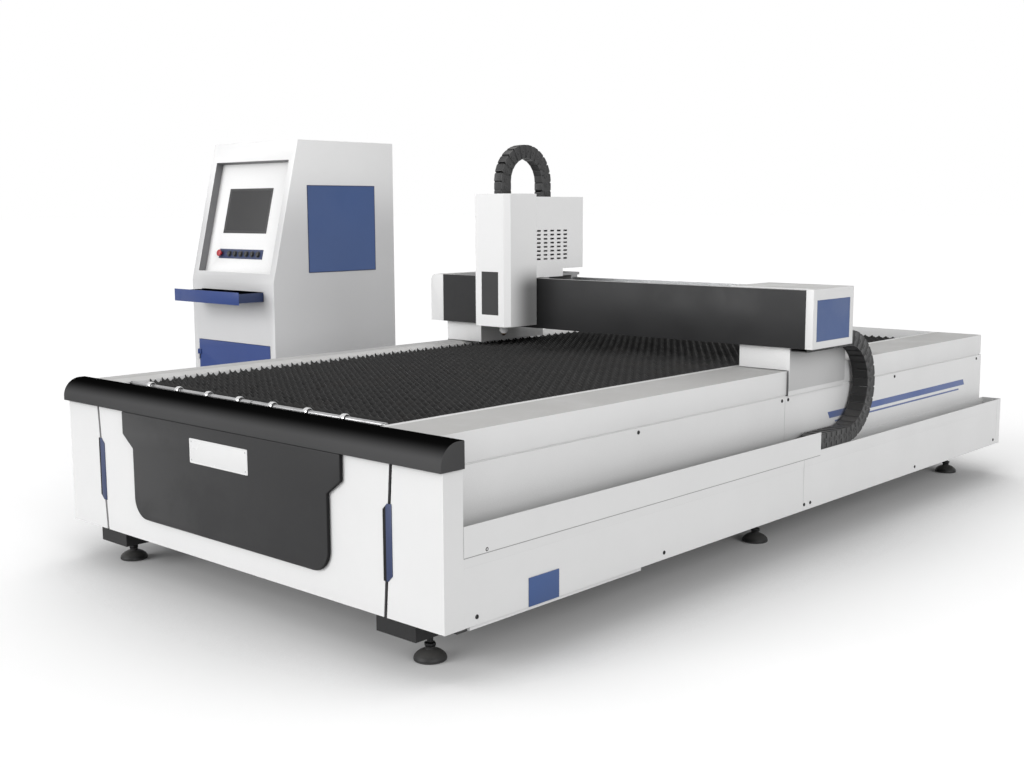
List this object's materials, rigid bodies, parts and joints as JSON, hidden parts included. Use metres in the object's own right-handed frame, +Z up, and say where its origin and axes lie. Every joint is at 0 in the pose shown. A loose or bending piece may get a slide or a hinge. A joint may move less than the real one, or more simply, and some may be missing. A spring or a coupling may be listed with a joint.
{
  "type": "fiber laser cutting machine",
  "caption": "Flat-bed laser cutter with a toothed slat bed, a moving gantry and cutting head, energy chains, loading rollers and a free-standing control cabinet.",
  "frame": {"origin": "on the floor below the middle of the whole machine, cabinet included", "axes": "+Z up, +Y from the loading front to the rear along the bed, +X across the bed to the side with the energy chain"},
  "size_m": [3.974, 4.249, 1.828],
  "materials": {
    "white_paint": "fine-textured powder coat, semi-matt",
    "dark_paint": "dark grey satin powder coat",
    "blue_paint": "blue satin paint",
    "slat_steel": "dark, heat-stained mild steel",
    "bright_steel": "ground steel",
    "frame_steel": "dark grey primer on welded steel",
    "chain_plastic": "dark moulded plastic",
    "button_plastic": "moulded plastic",
    "red_plastic": "moulded plastic",
    "screen_glass": "dark glass",
    "copper_alloy": "turned copper alloy"
  },
  "bodies": {
    "base": {"base_rails": "frame_steel", "side_beams": "frame_steel", "cross_members": "frame_steel", "slat_ledges": "frame_steel", "slats": "slat_steel", "rail_covers": "white_paint", "linear_rails": "bright_steel", "drive_racks": "bright_steel", "cable_tray": "white_paint", "left_side_casing": "white_paint", "right_side_casing": "white_paint", "front_casing": "white_paint", "front_deck": "frame_steel", "rear_panel": "white_paint", "front_bumper": "dark_paint", "front_apron": "dark_paint", "cover_plates": "blue_paint", "levelling_feet": "frame_steel", "roller_shaft": "bright_steel", "side_chain_run": "chain_plastic", "cabinet_shell": "white_paint", "console_panel": "white_paint", "screen": "screen_glass", "drawer_runners": "bright_steel"},
    "gantry": {"gantry_beam": "frame_steel", "beam_front_cover": "dark_paint", "beam_end_boxes": "white_paint", "gantry_feet": "white_paint", "gantry_carriages": "frame_steel", "x_rails": "bright_steel", "side_chain_top": "chain_plastic"},
    "chain_bend": {"side_chain_bend": "chain_plastic"},
    "head": {"x_carriage": "frame_steel", "head_front_cover": "white_paint", "head_rear_cover": "white_paint", "head_window": "screen_glass", "z_chain_rear_leg": "chain_plastic"},
    "laser_slide": {"cutting_head": "white_paint", "nozzle": "copper_alloy", "z_chain_front_leg": "chain_plastic"},
    "chain_arch": {"z_chain_arch": "chain_plastic"},
    "left_pinion": {"left_pinion": "bright_steel"},
    "right_pinion": {"right_pinion": "bright_steel"},
    "drawer": {"keyboard_drawer": "blue_paint"},
    "door": {"cabinet_door": "blue_paint"},
    "latch": {"door_latch": "bright_steel"},
    "stop_button": {"emergency_stop": "red_plastic"},
    "roller_wheel_1": {"roller_wheel_1": "bright_steel"},
    "roller_wheel_2": {"roller_wheel_2": "bright_steel"},
    "roller_wheel_3": {"roller_wheel_3": "bright_steel"},
    "roller_wheel_4": {"roller_wheel_4": "bright_steel"},
    "roller_wheel_5": {"roller_wheel_5": "bright_steel"},
    "roller_wheel_6": {"roller_wheel_6": "bright_steel"},
    "roller_wheel_7": {"roller_wheel_7": "bright_steel"},
    "button_1": {"button_1": "button_plastic"},
    "button_2": {"button_2": "button_plastic"},
    "button_3": {"button_3": "button_plastic"},
    "button_4": {"button_4": "button_plastic"},
    "button_5": {"button_5": "button_plastic"},
    "button_6": {"button_6": "button_plastic"}
  },
  "joints": [
    {"name": "gantry_travel", "type": "slide", "parent": "base", "child": "gantry", "axis": [0, 1, 0], "range_m": [-1.78, 0.72], "deforming": ["side_chain_top"]},
    {"name": "chain_bend_travel", "type": "slide", "parent": "base", "child": "chain_bend", "axis": [0, 1, 0], "range_m": [-0.89, 0.36], "deforming": ["side_chain_run"]},
    {"name": "head_travel", "type": "slide", "parent": "gantry", "child": "head", "axis": [1, 0, 0], "range_m": [-0.33, 1.09]},
    {"name": "laser_lift", "type": "slide", "parent": "head", "child": "laser_slide", "axis": [0, 0, 1], "range_m": [-0.065, 0.05], "deforming": ["z_chain_front_leg"]},
    {"name": "chain_arch_lift", "type": "slide", "parent": "head", "child": "chain_arch", "axis": [0, 0, 1], "range_m": [-0.0325, 0.025], "deforming": ["z_chain_rear_leg"]},
    {"name": "left_pinion_spin", "type": "hinge", "parent": "gantry", "child": "left_pinion", "pos_m": [-0.0727, 0.2665, 0.64], "axis": [0, 0, 1], "range_deg": [-7320, 3000]},
    {"name": "right_pinion_spin", "type": "hinge", "parent": "gantry", "child": "right_pinion", "pos_m": [1.5897, 0.2665, 0.64], "axis": [0, 0, 1], "range_deg": [-3000, 7320]},
    {"name": "roller_spin_1", "type": "hinge", "parent": "base", "child": "roller_wheel_1", "pos_m": [0.111, -1.9415, 0.734], "axis": [1, 0, 0], "continuous": true},
    {"name": "roller_spin_2", "type": "hinge", "parent": "base", "child": "roller_wheel_2", "pos_m": [0.311, -1.9415, 0.734], "axis": [1, 0, 0], "continuous": true},
    {"name": "roller_spin_3", "type": "hinge", "parent": "base", "child": "roller_wheel_3", "pos_m": [0.511, -1.9415, 0.734], "axis": [1, 0, 0], "continuous": true},
    {"name": "roller_spin_4", "type": "hinge", "parent": "base", "child": "roller_wheel_4", "pos_m": [0.711, -1.9415, 0.734], "axis": [1, 0, 0], "continuous": true},
    {"name": "roller_spin_5", "type": "hinge", "parent": "base", "child": "roller_wheel_5", "pos_m": [0.911, -1.9415, 0.734], "axis": [1, 0, 0], "continuous": true},
    {"name": "roller_spin_6", "type": "hinge", "parent": "base", "child": "roller_wheel_6", "pos_m": [1.111, -1.9415, 0.734], "axis": [1, 0, 0], "continuous": true},
    {"name": "roller_spin_7", "type": "hinge", "parent": "base", "child": "roller_wheel_7", "pos_m": [1.311, -1.9415, 0.734], "axis": [1, 0, 0], "continuous": true},
    {"name": "button_press_1", "type": "slide", "parent": "base", "child": "button_1", "axis": [0, 0.9713, -0.238], "range_m": [0, 0.003], "stiffness_N_per_m": 500, "springref_m": -0.001},
    {"name": "button_press_2", "type": "slide", "parent": "base", "child": "button_2", "axis": [0, 0.9713, -0.238], "range_m": [0, 0.003], "stiffness_N_per_m": 500, "springref_m": -0.001},
    {"name": "button_press_3", "type": "slide", "parent": "base", "child": "button_3", "axis": [0, 0.9713, -0.238], "range_m": [0, 0.003], "stiffness_N_per_m": 500, "springref_m": -0.001},
    {"name": "button_press_4", "type": "slide", "parent": "base", "child": "button_4", "axis": [0, 0.9713, -0.238], "range_m": [0, 0.003], "stiffness_N_per_m": 500, "springref_m": -0.001},
    {"name": "button_press_5", "type": "slide", "parent": "base", "child": "button_5", "axis": [0, 0.9713, -0.238], "range_m": [0, 0.003], "stiffness_N_per_m": 500, "springref_m": -0.001},
    {"name": "button_press_6", "type": "slide", "parent": "base", "child": "button_6", "axis": [0, 0.9713, -0.238], "range_m": [0, 0.003], "stiffness_N_per_m": 500, "springref_m": -0.001},
    {"name": "stop_press", "type": "slide", "parent": "base", "child": "stop_button", "axis": [0, 0.9713, -0.238], "range_m": [0, 0.005], "stiffness_N_per_m": 800, "springref_m": -0.002},
    {"name": "drawer_travel", "type": "slide", "parent": "base", "child": "drawer", "axis": [0, 1, 0], "range_m": [-0.12, 0.175]},
    {"name": "door_hinge", "type": "hinge", "parent": "base", "child": "door", "pos_m": [-1.937, -0.365, 0.384], "axis": [0, 0, -1], "range_deg": [0, 110]},
    {"name": "latch_turn", "type": "hinge", "parent": "door", "child": "latch", "pos_m": [-1.277, -0.3585, 0.384], "axis": [0, 1, 0], "range_deg": [0, 90]}
  ],
  "couplings": [
    {"joint": "chain_bend_travel", "follows": "gantry_travel", "ratio": 0.5},
    {"joint": "chain_arch_lift", "follows": "laser_lift", "ratio": 0.5},
    {"joint": "left_pinion_spin", "follows": "gantry_travel", "rad_per_m": 71.429},
    {"joint": "right_pinion_spin", "follows": "gantry_travel", "rad_per_m": -71.429}
  ]
}
